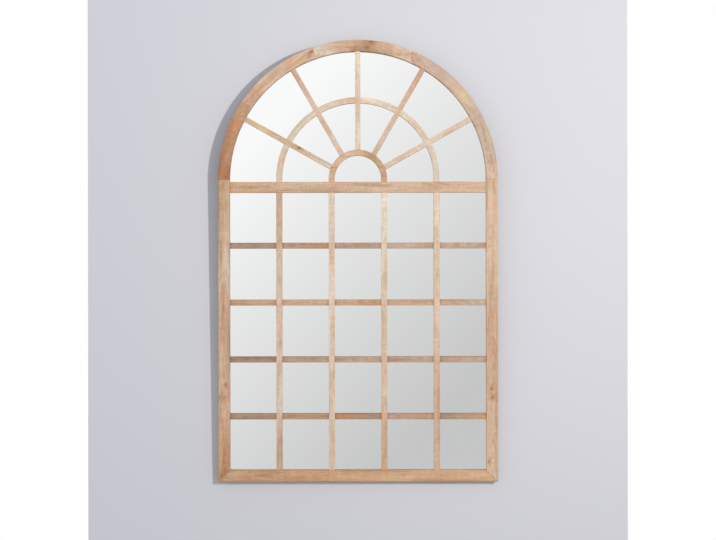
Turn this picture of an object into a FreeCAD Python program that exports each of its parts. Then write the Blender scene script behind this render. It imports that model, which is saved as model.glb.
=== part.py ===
import FreeCAD, Part
import math
import os

# Arched window mirror that hangs on a wall: a wooden window frame with a half-round head,
# a fan of spokes and rings in the arch, five by five panes below it, and one mirror behind.
# Millimetres. +X is to the viewer's right, -Y is towards the viewer and +Z is up. The origin is
# under the middle of the bottom rail, halfway between the front of the frame and the wall.

# Overall size
WIDTH = 965.0           # across the two stiles
HEIGHT = 1524.0         # underside of the bottom rail to the top of the arch
FACE = 40.0             # width of the stiles, bottom rail and arch, seen from the front
DEPTH = 32.0            # thickness of the frame, front to back
STAND_OFF = 8.0         # height of the bumpers that hold the frame off the wall

# Frame section
LIP_DEPTH = 12.0        # from the front of the frame to the glass
GLASS_T = 4.0           # mirror thickness
BOARD_T = 6.0           # backboard thickness
GLASS_REBATE = 7.0      # how far the glass rebate runs out from the sight edge
GLASS_GAP = 1.0         # play between the glass and its rebate, sides and top
BOARD_REBATE = 17.5     # how far the backboard rebate runs out from the sight edge
BOARD_GAP = 0.5         # play between the backboard and its rebate, sides and top
ARRIS = 1.8             # rounding of the frame's inner front edge
OUTER_ARRIS = 4.0       # rounding of its outer front edge
BACK_ARRIS = 1.0        # rounding of its outer back edge
ARCH_JOINTS = (146, 109, 65, 24)    # butt joints between the five sawn pieces of the arch, degrees

# Glazing bars
BAR_WIDTH = 20.5        # muntins, cross bars and both rings
SPOKE_WIDTH = 18.0
RAIL_WIDTH = 37.0       # middle rail
RAIL_TOP_DROP = 7.5     # top of the middle rail, below the centre of the arch
RAIL_SET_BACK = 1.0     # behind the front of the frame
BAR_SET_BACK = 3.0      # upright muntins and spokes
CROSS_SET_BACK = 4.0    # cross bars and rings
RING_RISE = 3.0         # centre of both rings, above the centre of the arch
BAR_ARRIS = 1.3
COLUMNS = 5             # panes across
ROWS = 5                # panes down, below the middle rail
FIRST_BAR_Z = 225.0     # centre of the lowest row of cross bars
BAR_PITCH = 196.4       # from one row of cross bars to the next
SPOKE_ANGLES = (150.8, 120, 90, 60, 29.2)

# Tenons on the bars, and the loose tenons inside the frame's own joints
TONGUE_T = 4.0
SHOULDER = 5.0          # bar width left on each side of a tongue
LONG_TONGUE = 8.0       # middle rail, muntin and spoke ends in the frame
SHORT_TONGUE = 5.0      # ends of cross bars, rings and the inner ends of spokes
LOOSE_T = 8.0
LOOSE_ARCH = (20.0, 36.0)     # across the frame face, along the arch
LOOSE_CORNER = (24.0, 24.0)   # along the mitre, across the mitre

# Screws of the backboard: (radius, depth below the head's top) of the turned outline
BOARD_SCREW = ((0, 0), (3.5, 0), (3.5, 0.4), (1.75, 2.2), (1.75, 12.0), (0, 14.0))
BOARD_SCREW_INSET = 12.0      # out from the sight edge
STILE_SCREWS = 4
RAIL_SCREWS = 4
RECESS = (4.0, 0.9, 1.2)      # length, width and depth of each arm of the cross recess

# Hangers on the back of the stiles
HANGER_INSET = 12.25          # middle of the strap, in from the side of the frame
HANGER_AXIS_Z = 1010.0
STRAP_WIDTH = 15.0
STRAP_LENGTH = 50.0           # from the ring's axis to the lower end
STRAP_T = 1.5
STRAP_CORNER = 4.0
WIRE_R = 1.75                 # wire of the ring
PIN_CLEARANCE = 0.05          # radial, between the wire and the strap's eye
RING_CLEARANCE = 0.3          # between the hanging ring and the strap
RING_INNER_WIDTH = 17.0
RING_LEG = 6.0                # straight part of the ring's sides, with the upper corners
RING_CORNER = 2.0
STRAP_SCREW_DROPS = (24.0, 41.0)
STRAP_SCREW = ((0, -2.2), (4.0, -2.2), (4.0, 0), (2.0, 0), (2.0, 12.5), (0, 15.0))
STRAP_SCREW_CROWN = 1.6       # rounding of the pan head

# Bumpers on the back of the bottom rail
BUMPER_X = 400.0
BUMPER_BASE_R = 9.0
BUMPER_TIP_R = 7.0
BUMPER_ROUND = 1.0

# Worked out
HALF_WIDTH = WIDTH / 2
SIGHT_R = HALF_WIDTH - FACE                  # inner edge of the frame, seen from the front
SPRING_Z = HEIGHT - HALF_WIDTH
FRONT_Y = -(DEPTH + STAND_OFF) / 2
BACK_Y = FRONT_Y + DEPTH
GLASS_Y = FRONT_Y + LIP_DEPTH
BOARD_Y = GLASS_Y + GLASS_T
BOARD_BACK_Y = BOARD_Y + BOARD_T
LOOSE_Y = (FRONT_Y + BOARD_Y) / 2            # middle of the wood in front of the backboard
RAIL_FRONT_Y = FRONT_Y + RAIL_SET_BACK
BAR_FRONT_Y = FRONT_Y + BAR_SET_BACK
CROSS_FRONT_Y = FRONT_Y + CROSS_SET_BACK
TONGUE_Y = (CROSS_FRONT_Y + GLASS_Y) / 2
RAIL_TOP_Z = SPRING_Z - RAIL_TOP_DROP
RAIL_BOTTOM_Z = RAIL_TOP_Z - RAIL_WIDTH
PANE_WIDTH = (2 * SIGHT_R - (COLUMNS - 1) * BAR_WIDTH) / COLUMNS
COLUMN_PITCH = PANE_WIDTH + BAR_WIDTH
RING_R = 1.5 * COLUMN_PITCH                  # the rings land on the muntins
HUB_R = 0.5 * COLUMN_PITCH
ARCH_ENDS = (180, *ARCH_JOINTS, 0)
ARCH_SPANS = list(zip(ARCH_ENDS, ARCH_ENDS[1:]))     # (high, low) ends of each piece, from the left
HANGER_X = HALF_WIDTH - HANGER_INSET
RING_AXIS_Y = BACK_Y + STRAP_T + RING_CLEARANCE + WIRE_R
BUMPER_Z = (FACE - BOARD_REBATE) / 2
BEYOND = 2 * FACE                            # reach of cutting tools past the wood

X_AXIS = FreeCAD.Vector(1, 0, 0)
Y_AXIS = FreeCAD.Vector(0, 1, 0)
Z_AXIS = FreeCAD.Vector(0, 0, 1)
ARCH_CENTRE = FreeCAD.Vector(0, 0, SPRING_Z)
RING_CENTRE = FreeCAD.Vector(0, 0, SPRING_Z + RING_RISE)
FAN_CENTRE = FreeCAD.Vector(0, 0, RAIL_TOP_Z)         # where the spokes would meet


def ray(angle):
    """Unit vector in the plane of the mirror, angle degrees up from +X."""
    return FreeCAD.Vector(math.cos(math.radians(angle)), 0, math.sin(math.radians(angle)))


def rounded_wire(corners, place):
    """Closed wire round (u, v, r) corners, each rounded by an arc of radius r, or sharp at 0."""
    spans = []
    for i, (u, v, r) in enumerate(corners):
        here = FreeCAD.Vector(u, v, 0)
        back = (FreeCAD.Vector(*corners[i - 1][:2], 0) - here).normalize()
        ahead = (FreeCAD.Vector(*corners[(i + 1) % len(corners)][:2], 0) - here).normalize()
        half = back.getAngle(ahead) / 2
        middle = here + (back + ahead).normalize() * (r / math.sin(half) - r)
        spans.append((here + back * (r / math.tan(half)), middle, here + ahead * (r / math.tan(half))))
    edges = []
    for i, (first, middle, last) in enumerate(spans):
        if corners[i][2] > 0:
            edges.append(Part.Arc(*[place(p.x, p.y) for p in (first, middle, last)]).toShape())
        following = spans[(i + 1) % len(spans)][0]
        if last.distanceToPoint(following) > 1e-6:
            edges.append(Part.makeLine(place(last.x, last.y), place(following.x, following.y)))
    return Part.Wire(edges)


def prism(points, y_from, y_to):
    """Solid with the (x, z) outline, between two depths."""
    wire = Part.makePolygon([FreeCAD.Vector(x, y_from, z) for x, z in points + points[:1]])
    return Part.Face(wire).extrude(Y_AXIS * (y_to - y_from))


def block(centre, along, across, length, width, y_mid, thickness):
    """Box about centre, length along one unit vector and width across, level with y_mid."""
    corner = centre - along * (length / 2) - across * (width / 2)
    points = [corner, corner + along * length, corner + along * length + across * width,
              corner + across * width]
    outline = [(p.x, p.z) for p in points]
    return prism(outline, y_mid - thickness / 2, y_mid + thickness / 2)


def turned(corners, x, y, z, sense):
    """Solid of revolution about a line along Y; corners are (radius, height, rounding)."""
    wire = rounded_wire(corners, lambda u, v: FreeCAD.Vector(x + u, y + sense * v, z))
    return Part.Face(wire).revolve(FreeCAD.Vector(x, y, z), Y_AXIS, 360)


def let_in(host, guests):
    """Host with a socket for whatever part of each guest runs into it."""
    return host.cut(guests)


# The frame

def frame_section(start, outward):
    """Face of the frame section: lip in front of the glass, then the glass and board rebates."""
    corners = [(0, FRONT_Y, ARRIS), (FACE, FRONT_Y, OUTER_ARRIS), (FACE, BACK_Y, BACK_ARRIS),
               (BOARD_REBATE, BACK_Y, 0), (BOARD_REBATE, BOARD_Y, 0), (GLASS_REBATE, BOARD_Y, 0),
               (GLASS_REBATE, GLASS_Y, 0), (0, GLASS_Y, 0)]
    return Part.Face(rounded_wire(corners, lambda u, y: start + outward * u + Y_AXIS * y))


def mitre_waste(side, above):
    """Wedge on one side of the 45 degree line through a bottom corner."""
    corner, inner = side * HALF_WIDTH, side * (HALF_WIDTH - BEYOND)
    third = (corner, BEYOND) if above else (inner, 0)
    return prism([(corner, 0), (inner, BEYOND), third], -DEPTH, DEPTH)


def stile(side):
    """Upright from the mitre at the bottom corner to the foot of the arch."""
    start = X_AXIS * (side * SIGHT_R)
    length = frame_section(start, X_AXIS * side).extrude(Z_AXIS * SPRING_Z)
    return length.cut(mitre_waste(side, above=False))


def bottom_rail():
    """Rail mitred to both stiles."""
    start = FreeCAD.Vector(-HALF_WIDTH, 0, FACE)
    length = frame_section(start, -Z_AXIS).extrude(X_AXIS * WIDTH)
    return length.cut([mitre_waste(side, above=True) for side in (-1, 1)])


def arch_segment(high, low):
    """Sawn piece of the arch between two angles."""
    outward = ray(low)
    section = frame_section(ARCH_CENTRE + outward * SIGHT_R, outward)
    return section.revolve(ARCH_CENTRE, -Y_AXIS, high - low)


def arch_loose_tenon(angle):
    """Tenon across one butt joint of the arch, half in each piece."""
    centre = ARCH_CENTRE + ray(angle) * (SIGHT_R + FACE / 2)
    across, along = LOOSE_ARCH
    return block(centre, ray(angle + 90), ray(angle), along, across, LOOSE_Y, LOOSE_T)


def corner_loose_tenon(side):
    """Tenon across one bottom mitre."""
    centre = FreeCAD.Vector(side * (HALF_WIDTH - FACE / 2), 0, FACE / 2)
    along, across = LOOSE_CORNER
    return block(centre, ray(90 + 45 * side), ray(90 - 45 * side), along, across, LOOSE_Y, LOOSE_T)


# The glazing bars

def bar(start, along, length, width, front_y):
    """Bar with eased front edges, lying on the glass."""
    across = along.cross(Y_AXIS)
    corners = [(-width / 2, front_y, BAR_ARRIS), (width / 2, front_y, BAR_ARRIS),
               (width / 2, GLASS_Y, 0), (-width / 2, GLASS_Y, 0)]
    wire = rounded_wire(corners, lambda u, y: start + across * u + Y_AXIS * y)
    return Part.Face(wire).extrude(along * length)


def tongue(start, along, length, width):
    """Square tongue inside a bar of the given width."""
    middle = start + along * (length / 2)
    return block(middle, along, along.cross(Y_AXIS), length, width - 2 * SHOULDER, TONGUE_Y, TONGUE_T)


def tenoned_bar(start, along, length, width, front_y, reach):
    """Bar between two shoulders, with a tongue that reaches past both."""
    core = tongue(start - along * reach, along, length + 2 * reach, width)
    return bar(start, along, length, width, front_y).fuse(core).removeSplitter()


def middle_rail():
    start = FreeCAD.Vector(-SIGHT_R, 0, (RAIL_TOP_Z + RAIL_BOTTOM_Z) / 2)
    return tenoned_bar(start, X_AXIS, 2 * SIGHT_R, RAIL_WIDTH, RAIL_FRONT_Y, LONG_TONGUE)


def muntin_x(number):
    """Centre of an upright muntin, counted from the left."""
    return -SIGHT_R + number * COLUMN_PITCH - BAR_WIDTH / 2


def vertical_muntin(number):
    start = FreeCAD.Vector(muntin_x(number), 0, FACE)
    return tenoned_bar(start, Z_AXIS, RAIL_BOTTOM_Z - FACE, BAR_WIDTH, BAR_FRONT_Y, LONG_TONGUE)


def cross_bar(row, column):
    """Short bar across one column of panes; row 1 is the highest, column 1 the leftmost."""
    z = FIRST_BAR_Z + (ROWS - 1 - row) * BAR_PITCH
    start = FreeCAD.Vector(-SIGHT_R + (column - 1) * COLUMN_PITCH, 0, z)
    return tenoned_bar(start, X_AXIS, PANE_WIDTH, BAR_WIDTH, CROSS_FRONT_Y, SHORT_TONGUE)


def along_spoke(angle, centre, radius):
    """Distance along a spoke from the centre of the fan to a circle."""
    rise = centre - FAN_CENTRE
    lift = rise.Length * math.sin(math.radians(angle))
    sideways = rise.Length * math.cos(math.radians(angle))
    return lift + math.sqrt(radius ** 2 - sideways ** 2)


def disc(centre, radius):
    """Cutting disc, thicker than the frame."""
    return Part.makeCylinder(radius, 2 * DEPTH, centre - Y_AXIS * DEPTH, Y_AXIS)


def spoke(angle):
    """Bar from the hub ring to the arch, shouldered to both curves."""
    direction = ray(angle)
    outside_hub = HUB_R + BAR_WIDTH / 2
    near = along_spoke(angle, RING_CENTRE, outside_hub)
    far = along_spoke(angle, ARCH_CENTRE, SIGHT_R)
    blank = bar(FAN_CENTRE, direction, far + BEYOND, SPOKE_WIDTH, BAR_FRONT_Y)
    shaped = blank.common(disc(ARCH_CENTRE, SIGHT_R)).cut(disc(RING_CENTRE, outside_hub))
    core = tongue(FAN_CENTRE + direction * (near - SHORT_TONGUE), direction,
                  far - near + SHORT_TONGUE + LONG_TONGUE, SPOKE_WIDTH)
    return shaped.fuse(core).removeSplitter()


def half_ring(radius):
    """Half ring on straight legs tenoned into the middle rail."""
    corners = [(radius - BAR_WIDTH / 2, CROSS_FRONT_Y, BAR_ARRIS),
               (radius + BAR_WIDTH / 2, CROSS_FRONT_Y, BAR_ARRIS),
               (radius + BAR_WIDTH / 2, GLASS_Y, 0), (radius - BAR_WIDTH / 2, GLASS_Y, 0)]
    wire = rounded_wire(corners, lambda u, y: RING_CENTRE + X_AXIS * u + Y_AXIS * y)
    ring = Part.Face(wire).revolve(RING_CENTRE, -Y_AXIS, 180)
    legs = []
    for side in (-1, 1):
        foot = FreeCAD.Vector(side * radius, 0, RAIL_TOP_Z)
        legs.append(bar(foot, Z_AXIS, RAIL_TOP_DROP + RING_RISE, BAR_WIDTH, CROSS_FRONT_Y))
        legs.append(tongue(foot - Z_AXIS * SHORT_TONGUE, Z_AXIS, 2 * SHORT_TONGUE, BAR_WIDTH))
    return ring.fuse(legs).removeSplitter()


def ring_segments():
    """The outer ring sawn apart at the spokes, from left to right, with a tongue at each spoke."""
    slots = []
    for angle in SPOKE_ANGLES:
        direction = ray(angle)
        slots.append(block(FAN_CENTRE + direction * RING_R, direction, direction.cross(Y_AXIS),
                           BEYOND, SPOKE_WIDTH, 0, 2 * DEPTH))
    pieces = sorted(half_ring(RING_R).cut(slots).Solids, key=lambda s: s.CenterOfMass.x)
    for number, angle in enumerate(SPOKE_ANGLES):
        crossing = FAN_CENTRE + ray(angle) * along_spoke(angle, RING_CENTRE, RING_R)
        for piece, turn in ((number, 90), (number + 1, -90)):
            outward = ray(angle + turn)
            start = crossing + outward * (SPOKE_WIDTH / 2 - SHORT_TONGUE)
            end = tongue(start, outward, 2 * SHORT_TONGUE, BAR_WIDTH)
            pieces[piece] = pieces[piece].fuse(end).removeSplitter()
    return pieces


# The mirror, its backboard and their screws

def arched_sheet(radius, bottom_z, front_y, thickness):
    """Flat sheet with a half-round head about the centre of the arch."""
    low_left, low_right, right, left = [
        FreeCAD.Vector(x, front_y, z) for x, z in
        ((-radius, bottom_z), (radius, bottom_z), (radius, SPRING_Z), (-radius, SPRING_Z))]
    top = FreeCAD.Vector(0, front_y, SPRING_Z + radius)
    edges = [Part.makeLine(left, low_left), Part.makeLine(low_left, low_right),
             Part.makeLine(low_right, right), Part.Arc(right, top, left).toShape()]
    return Part.Face(Part.Wire(edges)).extrude(Y_AXIS * thickness)


def mirror_glass():
    radius = SIGHT_R + GLASS_REBATE - GLASS_GAP
    return arched_sheet(radius, FACE - GLASS_REBATE, GLASS_Y, GLASS_T)


def backboard():
    radius = SIGHT_R + BOARD_REBATE - BOARD_GAP
    return arched_sheet(radius, FACE - BOARD_REBATE, BOARD_Y, BOARD_T)


def screw_blank(outline, crown, x, head_y, z):
    """Screw driven towards the front, without its recess; crown rounds its head's outer corner."""
    corners = [(r, depth, crown if i == 1 else 0) for i, (r, depth) in enumerate(outline)]
    return turned(corners, x, head_y, z, -1)


def recessed(blank, outline, x, head_y, z):
    """Screw blank with the cross recess cut in its head."""
    length, width, depth = RECESS
    centre = FreeCAD.Vector(x, 0, z)
    arms = [block(centre, along, along.cross(Y_AXIS), length, width, head_y - outline[0][1], 2 * depth)
            for along in (X_AXIS, Z_AXIS)]
    return blank.cut(arms)


def backboard_screw_places():
    """Places of the screws round the board: up both stiles, along the rail and round the arch."""
    side_x = SIGHT_R + BOARD_SCREW_INSET
    places = []
    for i in range(STILE_SCREWS):
        z = (i + 0.5) * SPRING_Z / STILE_SCREWS
        places += [(-side_x, BOARD_BACK_Y, z), (side_x, BOARD_BACK_Y, z)]
    for i in range(RAIL_SCREWS):
        x = ((i + 0.5) / RAIL_SCREWS - 0.5) * 2 * SIGHT_R
        places.append((x, BOARD_BACK_Y, FACE - BOARD_SCREW_INSET))
    for high, low in ARCH_SPANS:
        point = ARCH_CENTRE + ray((high + low) / 2) * side_x
        places.append((point.x, BOARD_BACK_Y, point.z))
    return places


def hanger_screw_places():
    """Places of the two screws in each strap."""
    return [(side * HANGER_X, BACK_Y + STRAP_T, HANGER_AXIS_Z - drop)
            for side in (-1, 1) for drop in STRAP_SCREW_DROPS]


# The hangers and bumpers

def hanger_strap(side):
    """Strap flat on the stile, its upper end curled into an eye for the ring."""
    x = side * HANGER_X
    half = STRAP_WIDTH / 2
    corners = [(-half, 0, 0), (half, 0, 0), (half, -STRAP_LENGTH, STRAP_CORNER),
               (-half, -STRAP_LENGTH, STRAP_CORNER)]
    wire = rounded_wire(corners, lambda u, v: FreeCAD.Vector(x + u, BACK_Y, HANGER_AXIS_Z + v))
    plate = Part.Face(wire).extrude(Y_AXIS * STRAP_T)
    end = FreeCAD.Vector(x - half, RING_AXIS_Y, HANGER_AXIS_Z)
    bore_r = WIRE_R + PIN_CLEARANCE
    eye = Part.makeCylinder(bore_r + STRAP_T, STRAP_WIDTH, end, X_AXIS)
    bore = Part.makeCylinder(bore_r, STRAP_WIDTH, end, X_AXIS)
    return plate.fuse(eye).removeSplitter().cut(bore)


def hanger_ring(side):
    """Ring of round wire, straight where it runs through the eye, with a half-round bow below."""
    x = side * HANGER_X
    reach = RING_INNER_WIDTH / 2 + WIRE_R
    low = -RING_LEG - reach
    corners = [(-reach, 0, RING_CORNER), (reach, 0, RING_CORNER), (reach, low, reach),
               (-reach, low, reach)]
    path = rounded_wire(corners, lambda u, v: FreeCAD.Vector(x + u, RING_AXIS_Y, HANGER_AXIS_Z + v))
    first = path.OrderedEdges[0]
    start = first.valueAt(first.FirstParameter)
    heading = first.tangentAt(first.FirstParameter)
    section = Part.Wire(Part.makeCircle(WIRE_R, start, heading))
    return path.makePipeShell([section], True, False)


def wall_bumper(side):
    """Tapered rubber bumper stuck to the back of the bottom rail."""
    corners = [(0, 0, 0), (BUMPER_BASE_R, 0, 0), (BUMPER_TIP_R, STAND_OFF, BUMPER_ROUND),
               (0, STAND_OFF, 0)]
    return turned(corners, side * BUMPER_X, BACK_Y, BUMPER_Z, 1)


def build():
    """Every piece by name, with the sockets of its joints cut."""
    columns = range(1, COLUMNS + 1)
    rows = range(1, ROWS)
    rail = middle_rail()
    muntins = {n: vertical_muntin(n) for n in range(1, COLUMNS)}
    crosses = {(row, column): cross_bar(row, column) for row in rows for column in columns}
    spokes = [spoke(angle) for angle in SPOKE_ANGLES]
    segments = ring_segments()
    hub = half_ring(HUB_R)
    arch_tenons = [arch_loose_tenon(angle) for angle in ARCH_ENDS]
    corner_tenons = [corner_loose_tenon(side) for side in (-1, 1)]
    board_places = backboard_screw_places()
    strap_places = hanger_screw_places()
    board_blanks = [screw_blank(BOARD_SCREW, 0, *place) for place in board_places]
    strap_blanks = [screw_blank(STRAP_SCREW, STRAP_SCREW_CROWN, *place) for place in strap_places]
    frame_guests = ([rail] + list(muntins.values()) + spokes + arch_tenons + corner_tenons
                    + board_blanks + strap_blanks)

    parts = {}
    for name, side, column in (("left", -1, 1), ("right", 1, COLUMNS)):
        guests = frame_guests + [crosses[row, column] for row in rows]
        parts[name + "_stile"] = let_in(stile(side), guests)
        parts[name + "_hanger_strap"] = let_in(hanger_strap(side), strap_blanks)
        parts[name + "_hanger_ring"] = hanger_ring(side)
        parts[name + "_wall_bumper"] = wall_bumper(side)
    parts["bottom_rail"] = let_in(bottom_rail(), frame_guests)
    for i, (high, low) in enumerate(ARCH_SPANS):
        parts[f"arch_segment_{i + 1}"] = let_in(arch_segment(high, low), frame_guests)
    parts["arch_joint_tenons"] = Part.makeCompound(arch_tenons)
    parts["corner_joint_tenons"] = Part.makeCompound(corner_tenons)
    parts["middle_rail"] = let_in(rail, list(muntins.values()) + segments + [hub])
    for n, muntin in muntins.items():
        guests = [crosses[row, column] for row in rows for column in (n, n + 1)]
        parts[f"vertical_muntin_{n}"] = let_in(muntin, guests)
    for (row, column), piece in crosses.items():
        parts[f"cross_bar_{row}_{column}"] = piece
    for i, piece in enumerate(spokes):
        parts[f"spoke_{i + 1}"] = let_in(piece, segments)
    for i, piece in enumerate(segments):
        parts[f"ring_segment_{i + 1}"] = piece
    parts["hub_ring"] = let_in(hub, spokes)
    parts["mirror_glass"] = mirror_glass()
    parts["backboard"] = let_in(backboard(), board_blanks)
    parts["backboard_screws"] = Part.makeCompound([
        recessed(blank, BOARD_SCREW, *place) for blank, place in zip(board_blanks, board_places)])
    parts["hanger_screws"] = Part.makeCompound([
        recessed(blank, STRAP_SCREW, *place) for blank, place in zip(strap_blanks, strap_places)])
    return parts


os.makedirs("parts", exist_ok=True)
for node, shape in build().items():
    shape.exportStep(f"parts/{node}.step")
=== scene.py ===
import math

import bpy
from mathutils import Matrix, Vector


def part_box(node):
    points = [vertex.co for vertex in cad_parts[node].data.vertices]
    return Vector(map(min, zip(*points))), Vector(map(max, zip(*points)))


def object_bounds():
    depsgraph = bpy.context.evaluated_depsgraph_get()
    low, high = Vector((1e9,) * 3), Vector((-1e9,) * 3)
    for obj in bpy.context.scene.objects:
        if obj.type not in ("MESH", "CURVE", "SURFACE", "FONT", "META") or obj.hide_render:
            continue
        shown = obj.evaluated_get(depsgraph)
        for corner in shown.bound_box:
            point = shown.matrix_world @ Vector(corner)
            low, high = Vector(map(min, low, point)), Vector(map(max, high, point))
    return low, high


# Looks of the arched window mirror. Metres: +X is to the viewer's right, -Y is towards the
# viewer, +Z is up, and the origin is under the middle of the bottom rail.

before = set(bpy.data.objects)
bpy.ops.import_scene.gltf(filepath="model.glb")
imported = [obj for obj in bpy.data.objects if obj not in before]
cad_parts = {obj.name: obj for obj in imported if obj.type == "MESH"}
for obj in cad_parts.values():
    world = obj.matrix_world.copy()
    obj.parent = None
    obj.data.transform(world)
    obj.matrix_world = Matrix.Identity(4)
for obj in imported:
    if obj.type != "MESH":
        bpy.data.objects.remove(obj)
CAD_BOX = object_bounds()

# Sizes read from the frame
HALF_WIDTH = CAD_BOX[1].x
SPRING_Z = CAD_BOX[1].z - HALF_WIDTH                 # centre of the arch
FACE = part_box("bottom_rail")[1].z                    # width of the frame seen from the front
FRONT_Y = CAD_BOX[0].y
WALL_Y = CAD_BOX[1].y                                # faces of the wall bumpers
SIGHT_R = HALF_WIDTH - FACE                          # inner edge of the frame
ARCH_R = HALF_WIDTH - FACE / 2                       # middle of the arch's face
RAIL_LOW, RAIL_HIGH = (corner.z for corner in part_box("middle_rail"))
HUB_OUTER_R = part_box("hub_ring")[1].x
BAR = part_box("cross_bar_1_3")[1].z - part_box("cross_bar_1_3")[0].z
PANE = (2 * SIGHT_R - 4 * BAR) / 5                   # width of a pane
HUB_R = HUB_OUTER_R - BAR / 2
RING_R = 3 * HUB_R                                   # both rings land on the muntins
RING_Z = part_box("hub_ring")[1].z - HUB_OUTER_R       # centre of both rings

# Angles in degrees, from left to right
SPOKE_ANGLES = (150.8, 120, 90, 60, 29.2)
ARCH_JOINTS = (180, 146, 109, 65, 24, 0)
RING_JOINTS = (180, *SPOKE_ANGLES, 0)

# Mean tones of the wood under its clear matt finish, as sRGB
TONES = {
    "ivory": (241, 227, 212), "bone": (230, 211, 191), "wheat": (229, 198, 167), "sand": (208, 190, 171),
    "pale": (221, 197, 175), "cream": (213, 184, 159), "fawn": (206, 174, 148), "copper": (196, 143, 104),
    "pink": (214, 178, 152), "straw": (217, 190, 152), "honey": (210, 171, 138), "amber": (198, 156, 120),
    "tan": (198, 162, 133), "ash": (192, 166, 146), "clay": (184, 151, 129), "brown": (187, 148, 117),
    "umber": (171, 138, 117), "russet": (181, 133, 100), "rust": (174, 125, 90), "beech": (220, 190, 156),
}
LIFT = (1.12, 1.19, 1.26)        # makes up for what the marks in the wood take from its tone

# The other materials, as sRGB
FIBREBOARD = (166, 131, 98)
ZINC = (196, 198, 203)
NICKEL = (206, 202, 194)
RUBBER = (206, 204, 196)
WALL_PAINT = (212, 212, 218)
FLOOR_PAINT = (232, 232, 233)

RING_GAP = 0.0034                # between growth rings, measured out from the pith
JOINT_SHADE_REACH = 0.012               # how far the painted shade reaches from where two pieces meet
HAIRLINE = (0.0001, 0.0005)      # where the line between two pieces starts to fade and where it ends


def linear(rgb):
    """Shader colour of an sRGB triple from 0 to 255."""
    parts = [c / 255 for c in rgb]
    return (*[c / 12.92 if c <= 0.04045 else ((c + 0.055) / 1.055) ** 2.4 for c in parts], 1.0)


# Small helpers for shader trees

def feed(tree, socket, value):
    """Give an input a value or a link."""
    if isinstance(value, bpy.types.NodeSocket):
        tree.links.new(value, socket)
    else:
        socket.default_value = value


def add(tree, kind, ins=None, **settings):
    """New node; ins gives its sockets values or links."""
    made = tree.nodes.new(kind)
    for key, value in settings.items():
        setattr(made, key, value)
    for key, value in (ins or {}).items():
        feed(tree, made.inputs[key], value)
    return made


def calc(tree, operation, a, b=0.0):
    return add(tree, "ShaderNodeMath", {0: a, 1: b}, operation=operation).outputs[0]


def vector(tree, operation, a, b=(0, 0, 0)):
    made = add(tree, "ShaderNodeVectorMath", {0: a, 1: b}, operation=operation)
    return made.outputs["Value" if operation in ("DOT_PRODUCT", "LENGTH") else "Vector"]


def split(tree, place):
    """The x, y and z of a vector."""
    return add(tree, "ShaderNodeSeparateXYZ", {0: place}).outputs


def join(tree, x=0.0, y=0.0, z=0.0):
    """Vector of three numbers."""
    return add(tree, "ShaderNodeCombineXYZ", {0: x, 1: y, 2: z}).outputs[0]


def fade(tree, value, low, high, to_low=0.0, to_high=1.0):
    """Smooth step from to_low at low to to_high at high."""
    made = add(tree, "ShaderNodeMapRange",
               {"Value": value, "From Min": low, "From Max": high, "To Min": to_low, "To Max": to_high},
               interpolation_type="SMOOTHSTEP")
    return made.outputs[0]


def tint(tree, colour, by, amount):
    """Colour multiplied by another, as far as amount says."""
    made = add(tree, "ShaderNodeMix", {0: amount, 6: colour, 7: by}, data_type="RGBA", blend_type="MULTIPLY")
    return made.outputs[2]


def noise(tree, place, stretch, detail=2.0, roughness=0.5, distortion=0.0):
    """Noise from 0 to 1 with so many features per metre along each axis of place."""
    where = vector(tree, "MULTIPLY", place, stretch)
    made = add(tree, "ShaderNodeTexNoise", {"Vector": where, "Scale": 1.0, "Detail": detail,
                                            "Roughness": roughness, "Distortion": distortion})
    return made.outputs[0]


def new_group(name, inputs, outputs):
    """Empty node group with its sockets; returns the group, its inputs by name and its output node."""
    group = bpy.data.node_groups.new(name, "ShaderNodeTree")
    for label, kind, value in inputs:
        socket = group.interface.new_socket(label, in_out="INPUT", socket_type="NodeSocket" + kind)
        if value is not None:
            socket.default_value = value
    for label, kind in outputs:
        group.interface.new_socket(label, in_out="OUTPUT", socket_type="NodeSocket" + kind)
    entry = group.nodes.new("NodeGroupInput")
    return group, entry.outputs, group.nodes.new("NodeGroupOutput")


# Wood. Place is a point of the piece in metres: x along the grain, y through it and z across.

def knot_group():
    """The grain flows round a knot like water round a post: across becomes z (1 - 1 / (d2 + core)), where
    d is the distance to the knot's centre in radii."""
    squash = 0.62        # less than 1 makes the knot longer along the grain
    core = 0.35          # keeps the flow finite at the centre
    group, ins, out = new_group(
        "knot",
        [("Place", "Vector", None), ("Centre", "Vector", None), ("Radius", "Float", 0.004),
         ("Darkness", "Float", 1.0)],
        [("Place", "Vector"), ("Heart", "Float"), ("Halo", "Float")])
    away = vector(group, "SUBTRACT", ins["Place"], ins["Centre"])
    wobble = noise(group, ins["Place"], (160, 160, 160))
    flat = vector(group, "MULTIPLY", away, (squash, 0, 1))
    distance = calc(group, "DIVIDE", vector(group, "LENGTH", flat), ins["Radius"])
    distance = calc(group, "MULTIPLY", distance, fade(group, wobble, 0.25, 0.75, 0.55, 1.6))
    squared = calc(group, "ADD", calc(group, "MULTIPLY", distance, distance), core)
    push = calc(group, "DIVIDE", -1.0, squared)
    shift = join(group, z=calc(group, "MULTIPLY", split(group, away)[2], push))
    group.links.new(vector(group, "ADD", ins["Place"], shift), out.inputs["Place"])
    heart = calc(group, "MULTIPLY", fade(group, distance, 0.2, 1.5, 1.0, 0.0), ins["Darkness"])
    group.links.new(heart, out.inputs["Heart"])
    group.links.new(fade(group, distance, 0.6, 4.5, 1.0, 0.0), out.inputs["Halo"])
    return group


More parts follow.
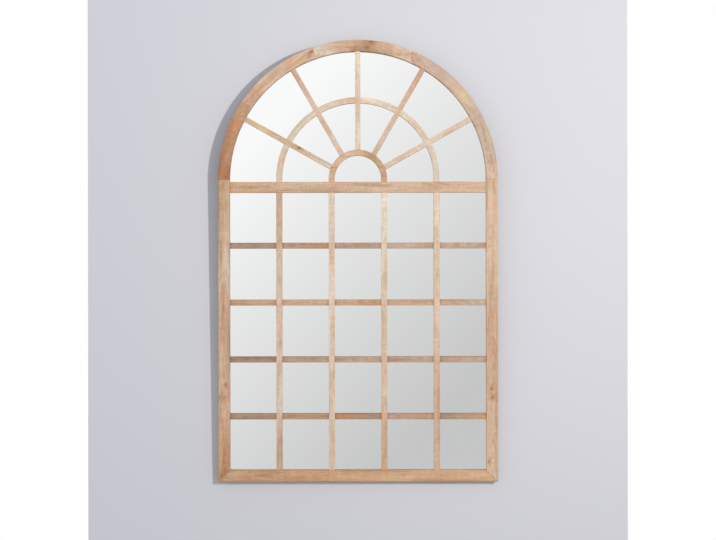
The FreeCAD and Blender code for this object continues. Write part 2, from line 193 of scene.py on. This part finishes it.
def wood_group():
    """Mango wood: growth rings about a pith, streaks, fibres, curl and pores."""
    group, ins, out = new_group(
        "mango_wood",
        [("Place", "Vector", None), ("Tone", "Color", (0.6, 0.4, 0.3, 1)), ("Seed", "Float", 0.0),
         ("Pith", "Float", 0.03), ("Lean", "Float", 0.05), ("Streaks", "Float", 1.0),
         ("Seam", "Float", 1.0), ("Painted Shade", "Float", 0.0), ("Heart", "Float", 0.0), ("Halo", "Float", 0.0)],
        [("Color", "Color"), ("Roughness", "Float"), ("Height", "Float")])
    spread = join(group, *[calc(group, "MULTIPLY", ins["Seed"], step) for step in (1.73, 0.41, 0.89)])
    place = vector(group, "ADD", ins["Place"], spread)

    # growth rings: distance to a leaning, wandering pith, cut into rings
    wander = add(group, "ShaderNodeTexNoise", {
        "Vector": vector(group, "MULTIPLY", place, (3.2, 9, 9)), "Scale": 1.0, "Detail": 3.0}).outputs[1]
    wander = vector(group, "MULTIPLY", vector(group, "SUBTRACT", wander, (0.5, 0.5, 0.5)), (0, 0.030, 0.030))
    here = split(group, vector(group, "ADD", ins["Place"], wander))
    depth = calc(group, "ADD", calc(group, "MULTIPLY", here[0], ins["Lean"]),
                 calc(group, "ADD", here[1], ins["Pith"]))
    radius = vector(group, "LENGTH", join(group, depth, here[2]))
    wave = calc(group, "SINE", calc(group, "MULTIPLY", radius, 2 * math.pi / RING_GAP))
    late = fade(group, wave, -0.3, 1.0)

    # streaks a few millimetres to a few centimetres wide, running with the grain
    streaks = noise(group, place, (4.5, 38, 62), detail=4.0, roughness=0.62, distortion=0.3)
    broad = noise(group, place, (2.6, 14, 17), detail=2.0)
    fibres = noise(group, place, (30, 700, 900), detail=2.0, roughness=0.7)
    curl = noise(group, place, (95, 20, 26), detail=1.0)
    pores = fade(group, noise(group, place, (240, 1500, 2100), detail=1.0), 0.60, 0.70)
    cloud = noise(group, place, (13, 24, 24), detail=3.0)

    dark = fade(group, streaks, 0.44, 0.74)
    light = fade(group, streaks, 0.52, 0.28)
    colour = vector(group, "MULTIPLY", ins["Tone"], LIFT)
    colour = tint(group, colour, (0.62, 0.50, 0.42, 1), calc(group, "MULTIPLY", dark, ins["Streaks"]))
    colour = tint(group, colour, (1.16, 1.19, 1.22, 1), calc(group, "MULTIPLY", light, ins["Streaks"]))
    colour = tint(group, colour, (0.82, 0.74, 0.67, 1), fade(group, broad, 0.50, 0.72))
    colour = tint(group, colour, (0.84, 0.77, 0.70, 1), calc(group, "MULTIPLY", late, 0.50))
    colour = tint(group, colour, (1.05, 0.95, 0.91, 1), fade(group, cloud, 0.46, 0.66))
    colour = tint(group, colour, (0.97, 1.00, 0.88, 1), fade(group, cloud, 0.46, 0.30))
    colour = tint(group, colour, (0.86, 0.82, 0.78, 1), fade(group, fibres, 0.46, 0.70))
    colour = tint(group, colour, (1.08, 1.08, 1.08, 1), fade(group, curl, 0.46, 0.66))
    colour = tint(group, colour, (0.52, 0.43, 0.36, 1), calc(group, "MULTIPLY", pores, 0.75))
    colour = tint(group, colour, (0.76, 0.60, 0.48, 1), calc(group, "MULTIPLY", ins["Halo"], 0.7))
    colour = tint(group, colour, (0.42, 0.28, 0.20, 1), calc(group, "MULTIPLY", ins["Heart"], 0.85))

    # painted shade on faces where the wood looks up, a dark hairline where two pieces meet and painted shade
    # beside it
    up = split(group, add(group, "ShaderNodeNewGeometry").outputs["Normal"])[2]
    painted_top_shade = fade(group, up, 0.4, 0.9)
    painted_top_shade = calc(group, "MULTIPLY", painted_top_shade, fade(group, ins["Painted Shade"], 0, 1, 0.3, 0.9))
    colour = tint(group, colour, (0.60, 0.52, 0.47, 1), painted_top_shade)
    painted_joint_shade = calc(group, "MULTIPLY", fade(group, ins["Seam"], 0.0, JOINT_SHADE_REACH, 1.0, 0.0), ins["Painted Shade"])
    hairline = fade(group, ins["Seam"], *HAIRLINE, 1.0, 0.0)
    colour = tint(group, colour, (0.78, 0.70, 0.64, 1), painted_joint_shade)
    colour = tint(group, colour, (0.55, 0.46, 0.40, 1), hairline)
    group.links.new(colour, out.inputs["Color"])

    rough = calc(group, "MULTIPLY", pores, 0.20)
    rough = calc(group, "ADD", rough, fade(group, streaks, 0.3, 0.7, 0.46, 0.56))
    rough = calc(group, "ADD", rough, calc(group, "MULTIPLY", fibres, 0.08))
    group.links.new(rough, out.inputs["Roughness"])
    height = calc(group, "ADD", calc(group, "MULTIPLY", fibres, 0.35), calc(group, "MULTIPLY", late, 0.25))
    height = calc(group, "SUBTRACT", height, pores)
    height = calc(group, "ADD", height, calc(group, "MULTIPLY", broad, 1.5))
    height = calc(group, "SUBTRACT", height, calc(group, "MULTIPLY", hairline, 2.0))
    group.links.new(height, out.inputs["Height"])
    return group


KNOT = knot_group()
WOOD = wood_group()


def surface(name, specular, metallic=0.0):
    """New material with one shader; returns it and its tree."""
    material = bpy.data.materials.new(name)
    material.use_nodes = True
    inputs = material.node_tree.nodes["Principled BSDF"].inputs
    inputs["Specular IOR Level"].default_value = specular
    inputs["Metallic"].default_value = metallic
    return material, material.node_tree


def coat(nodes, material, colour, roughness, height, strength, depth):
    """Give a material its colour, roughness and relief, and put it on the nodes."""
    tree = material.node_tree
    bump = add(tree, "ShaderNodeBump", {"Height": height, "Strength": strength, "Distance": depth})
    inputs = tree.nodes["Principled BSDF"].inputs
    for label, value in (("Base Color", colour), ("Roughness", roughness), ("Normal", bump.outputs[0])):
        feed(tree, inputs[label], value)
    for node in nodes:
        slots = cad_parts[node].data.materials
        slots.clear()
        slots.append(material)


def tone_ramp(tree, run, tones):
    """Colour along the piece, through its tones one after another."""
    ramp = add(tree, "ShaderNodeValToRGB", {0: run})
    stops = ramp.color_ramp
    stops.interpolation = "EASE"
    for i, tone in enumerate(tones):
        at = (i + 0.5) / len(tones)
        stop = stops.elements[i] if i < 2 else stops.elements.new(at)
        stop.position = at
        stop.color = linear(TONES[tone])
    return ramp.outputs[0]


def plane(point, degrees):
    """End plane of a piece through an (x, z) point, its normal at so many degrees above +X."""
    normal = (math.cos(math.radians(degrees)), 0, math.sin(math.radians(degrees)))
    return normal, point[0] * normal[0] + point[1] * normal[2]


def wood(node, start, degrees, length, tones, ends=None, knots=(), streaks=0.6, pith=0.03, lean=0.05,
         painted_shade=0.0):
    """Wood on one piece: its grain starts at the (x, z) point start and runs at so many degrees.
    tones are named from start to end, ends are its end planes, and knots are (x, z, radius, darkness).
    At the start the pith is so far in front of y = 0, and it leans forwards so far per metre.
    The last argument sets how much painted shade darkens the piece's ends and the faces that look up."""
    material, tree = surface("wood_" + node, specular=0.35)
    turn = math.radians(degrees)
    cos, sin = math.cos(turn), math.sin(turn)
    seed = 1 + sorted(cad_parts).index(node)

    def along_across(x, z):
        x, z = x - start[0], z - start[1]
        return x * cos + z * sin, z * cos - x * sin

    here = add(tree, "ShaderNodeTexCoord").outputs["Object"]
    zero = along_across(0, 0)
    place = add(tree, "ShaderNodeMapping", {"Vector": here, "Location": (zero[0], 0, zero[1]),
                                            "Rotation": (0, turn, 0)}).outputs[0]
    heart, halo = 0.0, 0.0
    for x, z, radius, darkness in knots:
        u, v = along_across(x, z)
        knot = add(tree, "ShaderNodeGroup", {"Place": place, "Centre": (u, 0, v), "Radius": radius,
                                             "Darkness": darkness}, node_tree=KNOT).outputs
        place = knot["Place"]
        heart = calc(tree, "MAXIMUM", knot["Heart"], heart)
        halo = calc(tree, "MAXIMUM", knot["Halo"], halo)

    run = calc(tree, "DIVIDE", split(tree, place)[0], length)
    drift = noise(tree, vector(tree, "ADD", place, (seed * 0.7, 0, seed * 0.3)), (9, 30, 45), detail=3.0)
    drift = calc(tree, "MULTIPLY", calc(tree, "SUBTRACT", drift, 0.5), 0.9 / len(tones))
    tone = tone_ramp(tree, calc(tree, "ADD", run, drift), tones)
    far_end = (start[0] + length * cos, start[1] + length * sin)
    seam = 1.0
    for normal, offset in ends or (plane(start, degrees), plane(far_end, degrees)):
        height = vector(tree, "DOT_PRODUCT", here, normal)
        gap = calc(tree, "ABSOLUTE", calc(tree, "SUBTRACT", height, offset))
        seam = calc(tree, "MINIMUM", gap, seam)
    body = add(tree, "ShaderNodeGroup",
               {"Place": place, "Tone": tone, "Seed": float(seed), "Pith": pith, "Lean": lean,
                "Streaks": streaks, "Seam": seam, "Painted Shade": painted_shade, "Heart": heart, "Halo": halo},
               node_tree=WOOD).outputs
    coat((node,), material, body["Color"], body["Roughness"], body["Height"], strength=0.35, depth=0.0006)


def around(centre_z, radius, degrees):
    """Point (x, z) at an angle round a centre on the middle line of the mirror."""
    return radius * math.cos(math.radians(degrees)), centre_z + radius * math.sin(math.radians(degrees))


def curved_wood(node, centre_z, radius, first, last, tones, **more):
    """Wood of a piece of the arch or ring, sawn from a straight board along its chord."""
    middle = (first + last) / 2
    ends = (plane((0, centre_z), first - 90), plane((0, centre_z), last - 90))
    chord = 2 * radius * math.sin(math.radians(abs(first - last) / 2))
    wood(node, around(centre_z, radius, first), middle - 90, chord, tones, ends, **more)


def mitre(side):
    """Plane of the mitre at the left (-1) or right (1) bottom corner."""
    return plane((side * HALF_WIDTH, 0), 90 - 45 * side)


def dress_stiles():
    arch_foot = plane((0, SPRING_Z), 90)
    stiles = (
        (-1, "left_stile", ("amber", "fawn", "tan", "cream", "tan"),
         ((-0.456, 0.333, 0.003, 1.0), (-0.478, 0.293, 0.003, 0.7), (-0.463, 0.290, 0.005, 0.3),
          (-0.468, 0.022, 0.008, 0.3))),
        (1, "right_stile", ("fawn", "tan", "tan", "fawn", "fawn"),
         ((0.461, 0.322, 0.003, 0.8), (0.464, 0.292, 0.004, 0.5), (0.452, 0.070, 0.003, 0.6))))
    for side, node, tones, knots in stiles:
        wood(node, (side * (HALF_WIDTH - FACE / 2), 0), 90, SPRING_Z, tones, (mitre(side), arch_foot), knots,
             pith=0.05, lean=0.03)


def dress_bottom_rail():
    # the bottom rail's ends and upper faces get a little painted shade
    wood("bottom_rail", (-HALF_WIDTH, FACE / 2), 0, 2 * HALF_WIDTH,
         ("amber", "amber", "amber", "honey", "honey"), (mitre(-1), mitre(1)),
         pith=0.06, lean=-0.04, painted_shade=0.3)


def dress_arch():
    segments = (
        (("rust", "russet", "russet", "copper", "amber"), ()),
        (("pink", "wheat", "cream", "honey", "pink"),
         ((-0.161, 1.481, 0.003, 0.4), (-0.166, 1.470, 0.003, 0.4))),
        (("pale", "cream", "brown", "tan", "cream"),
         ((-0.014, 1.490, 0.004, 0.3), (0.047, 1.515, 0.003, 0.8), (0.032, 1.497, 0.003, 0.3),
          (0.188, 1.476, 0.002, 0.7), (0.188, 1.462, 0.002, 0.6), (0.188, 1.453, 0.002, 0.5))),
        (("ash", "ash", "fawn", "ash"), ()),
        (("ash", "ash", "ash", "fawn"), ()))
    for i, (tones, knots) in enumerate(segments):
        first, last = ARCH_JOINTS[i:i + 2]
        curved_wood(f"arch_segment_{i + 1}", SPRING_Z, ARCH_R, first, last, tones, knots=knots,
                    pith=0.045, lean=0.12 * (-1) ** i)


def dress_middle_rail():
    # the middle rail's ends and upper faces get some painted shade
    wood("middle_rail", (-SIGHT_R, (RAIL_LOW + RAIL_HIGH) / 2), 0, 2 * SIGHT_R,
         ("honey", "fawn", "fawn", "fawn", "fawn"), pith=0.05, lean=0.02, painted_shade=0.5)


def dress_muntins():
    uprights = (("fawn", "bone", "cream", "cream", "tan"),
                ("cream", "pale", "pale", "pale", "pale"),
                ("tan", "cream", "bone", "bone", "bone"),
                ("fawn", "pink", "cream", "cream", "pale"))
    for n, tones in enumerate(uprights, 1):
        low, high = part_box(f"vertical_muntin_{n}")
        wood(f"vertical_muntin_{n}", ((low.x + high.x) / 2, FACE), 90, RAIL_LOW - FACE, tones,
             streaks=0.35, pith=0.03 + 0.01 * n, lean=0.02)


def dress_cross_bars():
    rows = (
        (("umber", "umber"), ("clay", "brown"), ("clay", "clay"), ("ash", "ash"), ("ash", "ash")),
        (("brown", "tan"), ("tan", "tan"), ("tan", "brown"), ("tan", "tan"), ("tan", "ash")),
        (("umber", "umber"), ("clay", "clay"), ("clay", "clay"), ("clay", "clay"), ("clay", "clay")),
        (("umber", "umber"), ("tan", "tan"), ("russet", "umber"), ("clay", "brown"), ("umber", "brown")))
    for row, columns in enumerate(rows, 1):
        for column, tones in enumerate(columns, 1):
            low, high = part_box(f"cross_bar_{row}_{column}")
            start = -SIGHT_R + (column - 1) * (PANE + BAR)
            # the bars' ends and upper faces get strong painted shade
            wood(f"cross_bar_{row}_{column}", (start, (low.z + high.z) / 2), 0, PANE, tones,
                 streaks=0.5, pith=0.02 + 0.007 * column, lean=0.05 * (-1) ** (row + column), painted_shade=0.8)


def dress_spokes():
    spokes = ((("pale", "straw", "honey", "straw"), ((-0.203, 1.152, 0.0045, 1.0),)),
              (("pale", "pink", "pale", "pink"), ()),
              (("ivory", "bone", "bone"), ()),
              (("pale", "cream", "fawn", "tan"), ()),
              (("pale", "pale", "cream"), ()))
    for i, (degrees, (tones, knots)) in enumerate(zip(SPOKE_ANGLES, spokes)):
        wood(f"spoke_{i + 1}", around(RAIL_HIGH, HUB_OUTER_R, degrees), degrees, SIGHT_R - HUB_OUTER_R, tones,
             knots=knots, streaks=0.4, pith=0.025, lean=0.03)


def dress_rings():
    segments = (("pale", "pale"), ("bone", "pale"), ("pale", "cream"), ("bone", "pale"),
                ("bone", "pale"), ("sand", "sand"))
    for i, tones in enumerate(segments):
        first, last = RING_JOINTS[i:i + 2]
        curved_wood(f"ring_segment_{i + 1}", RING_Z, RING_R, first, last, tones, streaks=0.4,
                    pith=0.02, lean=0.1 * (-1) ** i)
    wood("hub_ring", (-HUB_OUTER_R, SPRING_Z + HUB_R / 2), 0, 2 * HUB_OUTER_R,
         ("honey", "cream", "honey", "brown", "tan"), (plane((0, RAIL_HIGH), 90),), streaks=0.5,
         pith=0.03, lean=0.02)


def dress_tenons():
    for node in ("arch_joint_tenons", "corner_joint_tenons"):
        wood(node, (0, 0), 0, 1.0, ("beech", "beech"), streaks=0.2)


# The mirror and the fittings

def dress_mirror():
    """Silvered float glass: a clear, faintly green reflection with a very slight ripple."""
    material, tree = surface("silvered_glass", specular=0.5, metallic=1.0)
    here = add(tree, "ShaderNodeTexCoord").outputs["Object"]
    ripple = noise(tree, here, (3, 3, 3), detail=1.0)
    rough = fade(tree, noise(tree, here, (9, 9, 9)), 0.3, 0.7, 0.0, 0.012)
    coat(("mirror_glass",), material, (0.955, 0.965, 0.962, 1), rough, ripple, strength=0.02, depth=0.001)


def dress_backboard():
    """Bare fibreboard: felted fibres and dark specks."""
    material, tree = surface("brown_fibreboard", specular=0.25)
    here = add(tree, "ShaderNodeTexCoord").outputs["Object"]
    fibres = noise(tree, here, (420, 420, 420), detail=4.0, roughness=0.7, distortion=1.2)
    specks = fade(tree, noise(tree, here, (900, 900, 900), detail=1.0), 0.64, 0.72)
    cloud = noise(tree, here, (7, 7, 7), detail=3.0)
    colour = tint(tree, linear(FIBREBOARD), (0.70, 0.66, 0.62, 1), fade(tree, fibres, 0.40, 0.66))
    colour = tint(tree, colour, (0.90, 0.88, 0.86, 1), fade(tree, cloud, 0.42, 0.62))
    colour = tint(tree, colour, (0.45, 0.40, 0.36, 1), calc(tree, "MULTIPLY", specks, 0.6))
    rough = fade(tree, fibres, 0.3, 0.7, 0.70, 0.86)
    coat(("backboard",), material, colour, rough, fibres, strength=0.25, depth=0.0004)


def plated(name, nodes, tone, smooth, dull):
    """Plated metal: fine rolling lines, patches of duller plate and a tint that drifts."""
    material, tree = surface(name, specular=0.5, metallic=1.0)
    here = add(tree, "ShaderNodeTexCoord").outputs["Object"]
    lines = noise(tree, here, (2600, 900, 350), detail=2.0)
    patches = noise(tree, here, (170, 170, 170), detail=3.0)
    colour = tint(tree, linear(tone), (0.86, 0.87, 0.90, 1), fade(tree, patches, 0.40, 0.65))
    colour = tint(tree, colour, (0.90, 0.89, 0.86, 1), fade(tree, lines, 0.45, 0.70))
    rough = calc(tree, "ADD", fade(tree, patches, 0.35, 0.65, smooth, dull),
                 calc(tree, "MULTIPLY", lines, 0.08))
    coat(nodes, material, colour, rough, lines, strength=0.15, depth=0.0001)


def dress_hangers():
    plated("bright_zinc", ("left_hanger_strap", "right_hanger_strap", "hanger_screws", "backboard_screws"),
           ZINC, smooth=0.26, dull=0.42)
    plated("nickel_wire", ("left_hanger_ring", "right_hanger_ring"), NICKEL, smooth=0.14, dull=0.26)


def dress_bumpers():
    """Soft rubber with a fine grain."""
    material, tree = surface("bumper_rubber", specular=0.4)
    here = add(tree, "ShaderNodeTexCoord").outputs["Object"]
    grain = noise(tree, here, (1400, 1400, 1400), detail=2.0)
    colour = tint(tree, linear(RUBBER), (0.88, 0.88, 0.86, 1), fade(tree, grain, 0.4, 0.7))
    rough = fade(tree, grain, 0.3, 0.7, 0.45, 0.62)
    coat(("left_wall_bumper", "right_wall_bumper"), material, colour, rough, grain,
         strength=0.2, depth=0.0002)


dress_stiles()
dress_bottom_rail()
dress_arch()
dress_middle_rail()
dress_muntins()
dress_cross_bars()
dress_spokes()
dress_rings()
dress_tenons()
dress_mirror()
dress_backboard()
dress_hangers()
dress_bumpers()

# Camera: square on to the mirror, a little below its middle
FOCAL_PX = 1200.0                     # distance to the frame in widths of a pixel at the frame
IMAGE_W, IMAGE_H = 716, 540
SENSOR = 0.036
MM_PER_PX = 3.446
BOTTOM_PX = 481.8                     # row of the frame's lower edge
ROLL = 0.08                           # degrees
WALL_LEFT_PX, WALL_RIGHT_PX = 88.0, 627.5        # columns where the wall ends

camera_data = bpy.data.cameras.new("camera")
camera_data.sensor_width = SENSOR * 1000
camera_data.lens = FOCAL_PX / IMAGE_W * SENSOR * 1000
camera_data.clip_end = 100
camera = bpy.data.objects.new("camera", camera_data)
bpy.context.scene.collection.objects.link(camera)
CAMERA_Y = FRONT_Y - FOCAL_PX * MM_PER_PX / 1000
CAMERA_Z = (BOTTOM_PX - IMAGE_H / 2) * MM_PER_PX / 1000
camera.location = (0, CAMERA_Y, CAMERA_Z)
camera.rotation_euler = (math.radians(90), math.radians(ROLL), 0)
bpy.context.scene.camera = camera

# Stage: a pale wall that leans back a little from the mirror, and a pale floor
WALL_LEAN = math.radians(1.6)
WALL_TOP, FLOOR_Z = 2.0, -0.9
FLOOR_SIDE, FLOOR_BACK = 4.0, 2.5     # how far the floor reaches to its sides and front, and back


def stage_sheet(name, corners, paint, drift=(0, 0, 0)):
    """Flat sheet seen only from its front. Direct light and the first bounce pass through it, and it
    stops the light of later bounces. Drift is painted light: how much its paint lightens per metre."""
    mesh = bpy.data.meshes.new(name)
    mesh.from_pydata(corners, [], [tuple(range(len(corners)))])
    sheet = bpy.data.objects.new(name, mesh)
    bpy.context.scene.collection.objects.link(sheet)
    material = bpy.data.materials.new(name)
    material.use_nodes = True
    tree = material.node_tree
    tree.nodes.remove(tree.nodes["Principled BSDF"])
    rays = add(tree, "ShaderNodeLightPath").outputs
    facing = calc(tree, "SUBTRACT", 1.0, add(tree, "ShaderNodeNewGeometry").outputs["Backfacing"])
    seen = calc(tree, "MULTIPLY", rays["Is Camera Ray"], facing)
    for kind, depth in (("Is Shadow Ray", 0.5), ("Is Diffuse Ray", 1.5)):
        later = calc(tree, "GREATER_THAN", rays["Diffuse Depth"], depth)
        seen = calc(tree, "MAXIMUM", seen, calc(tree, "MULTIPLY", rays[kind], later))
    clear = add(tree, "ShaderNodeBsdfTransparent").outputs[0]
    here = add(tree, "ShaderNodeTexCoord").outputs["Object"]
    # painted light: the paint lightens along drift
    light = calc(tree, "ADD", vector(tree, "DOT_PRODUCT", here, drift), 1.0)
    colour = vector(tree, "MULTIPLY", join(tree, light, light, light), linear(paint)[:3])
    painted = add(tree, "ShaderNodeBsdfDiffuse", {"Color": colour}).outputs[0]
    mixed = add(tree, "ShaderNodeMixShader", {0: seen, 1: clear, 2: painted})
    tree.links.new(mixed.outputs[0], tree.nodes["Material Output"].inputs["Surface"])
    mesh.materials.append(material)


def wall_point(z, edge_px):
    """Point of the leaning wall at a height, on the given column of the picture."""
    y = WALL_Y + math.tan(WALL_LEAN) * (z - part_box("left_wall_bumper")[0].z)
    return (edge_px - IMAGE_W / 2) / FOCAL_PX * (y - CAMERA_Y), y, z


# painted light on the wall: its paint lightens to the left and upwards, in place of the lamps' uneven fall on
# it
stage_sheet("wall", [wall_point(FLOOR_Z, WALL_LEFT_PX), wall_point(FLOOR_Z, WALL_RIGHT_PX),
                     wall_point(WALL_TOP, WALL_RIGHT_PX), wall_point(WALL_TOP, WALL_LEFT_PX)],
            WALL_PAINT, drift=(-0.052, 0, 0.04))
stage_sheet("floor", [(-FLOOR_SIDE, -FLOOR_SIDE, FLOOR_Z), (FLOOR_SIDE, -FLOOR_SIDE, FLOOR_Z),
                      (FLOOR_SIDE, FLOOR_BACK, FLOOR_Z), (-FLOOR_SIDE, FLOOR_BACK, FLOOR_Z)], FLOOR_PAINT)


def lamp(name, place, power, size, colour=(1, 1, 1)):
    """Point lamp that is seen only by the light it gives."""
    data = bpy.data.lights.new(name, "POINT")
    data.color = colour
    data.energy = power
    data.shadow_soft_size = size
    made = bpy.data.objects.new(name, data)
    made.location = place
    made.visible_camera = False
    made.visible_glossy = False
    bpy.context.scene.collection.objects.link(made)


lamp("key", place=(1.70, -3.30, 1.38), power=285, size=0.07, colour=(1.04, 1.0, 0.95))
lamp("rear", place=(-3.5, 8.0, 4.5), power=1300, size=0.60)

# What shines: its level on the display straight ahead or behind, the rise for each unit of slope to
# the left and upwards, and its limits
SHINE_AHEAD, SHINE_LEFT, SHINE_UP = 0.886, 0.549, 0.561
SHINE_LOW, SHINE_HIGH = 0.782, 0.995
DISPLAY_GAMMA = 2.2
ROOM_COLOUR = (0.96, 1.0, 1.05, 1)        # a little blue


def shine(tree, way):
    """Soft gradient in what shines: brighter towards the upper left, where the room is lightest."""
    ahead = calc(tree, "MAXIMUM", calc(tree, "ABSOLUTE", way[1]), 0.2)
    across = calc(tree, "MULTIPLY", calc(tree, "DIVIDE", way[0], ahead), -SHINE_LEFT)
    up = calc(tree, "MULTIPLY", calc(tree, "DIVIDE", way[2], ahead), SHINE_UP)
    level = calc(tree, "ADD", calc(tree, "ADD", across, up), SHINE_AHEAD)
    level = calc(tree, "MINIMUM", calc(tree, "MAXIMUM", level, SHINE_LOW), SHINE_HIGH)
    level = calc(tree, "POWER", level, DISPLAY_GAMMA)
    return add(tree, "ShaderNodeBackground", {"Color": level, "Strength": 1.0}).outputs[0]


def room_light(tree, way):
    """Nearly even light: less of it comes from below and from straight above, and more from the left."""
    below = fade(tree, way[2], -0.9, -0.1, -0.48, 0.0)
    above = fade(tree, way[2], 0.2, 0.95, 0.63, 0.48)
    side = fade(tree, way[0], 0.2, -1.0, 0.0, 0.16)
    strength = calc(tree, "ADD", calc(tree, "ADD", below, above), side)
    return add(tree, "ShaderNodeBackground", {"Color": ROOM_COLOUR, "Strength": strength}).outputs[0]


def light_world():
    """White behind the object, the room's light on it and a gradient in what shines."""
    world = bpy.data.worlds.new("studio")
    bpy.context.scene.world = world
    world.use_nodes = True
    tree = world.node_tree
    tree.nodes.remove(tree.nodes["Background"])
    rays = add(tree, "ShaderNodeLightPath").outputs
    way = split(tree, add(tree, "ShaderNodeTexCoord").outputs["Generated"])
    soft = shine(tree, way)
    even = room_light(tree, way)
    white = add(tree, "ShaderNodeBackground", {"Color": (1, 1, 1, 1), "Strength": 1.0}).outputs[0]
    lit = add(tree, "ShaderNodeMixShader", {0: rays["Is Glossy Ray"], 1: even, 2: soft}).outputs[0]
    direct = calc(tree, "MAXIMUM", rays["Is Camera Ray"], rays["Is Transmission Ray"])
    shown = add(tree, "ShaderNodeMixShader", {0: direct, 1: lit, 2: white}).outputs[0]
    tree.links.new(shown, tree.nodes["World Output"].inputs["Surface"])


light_world()
bpy.context.scene.view_settings.view_transform = "Standard"
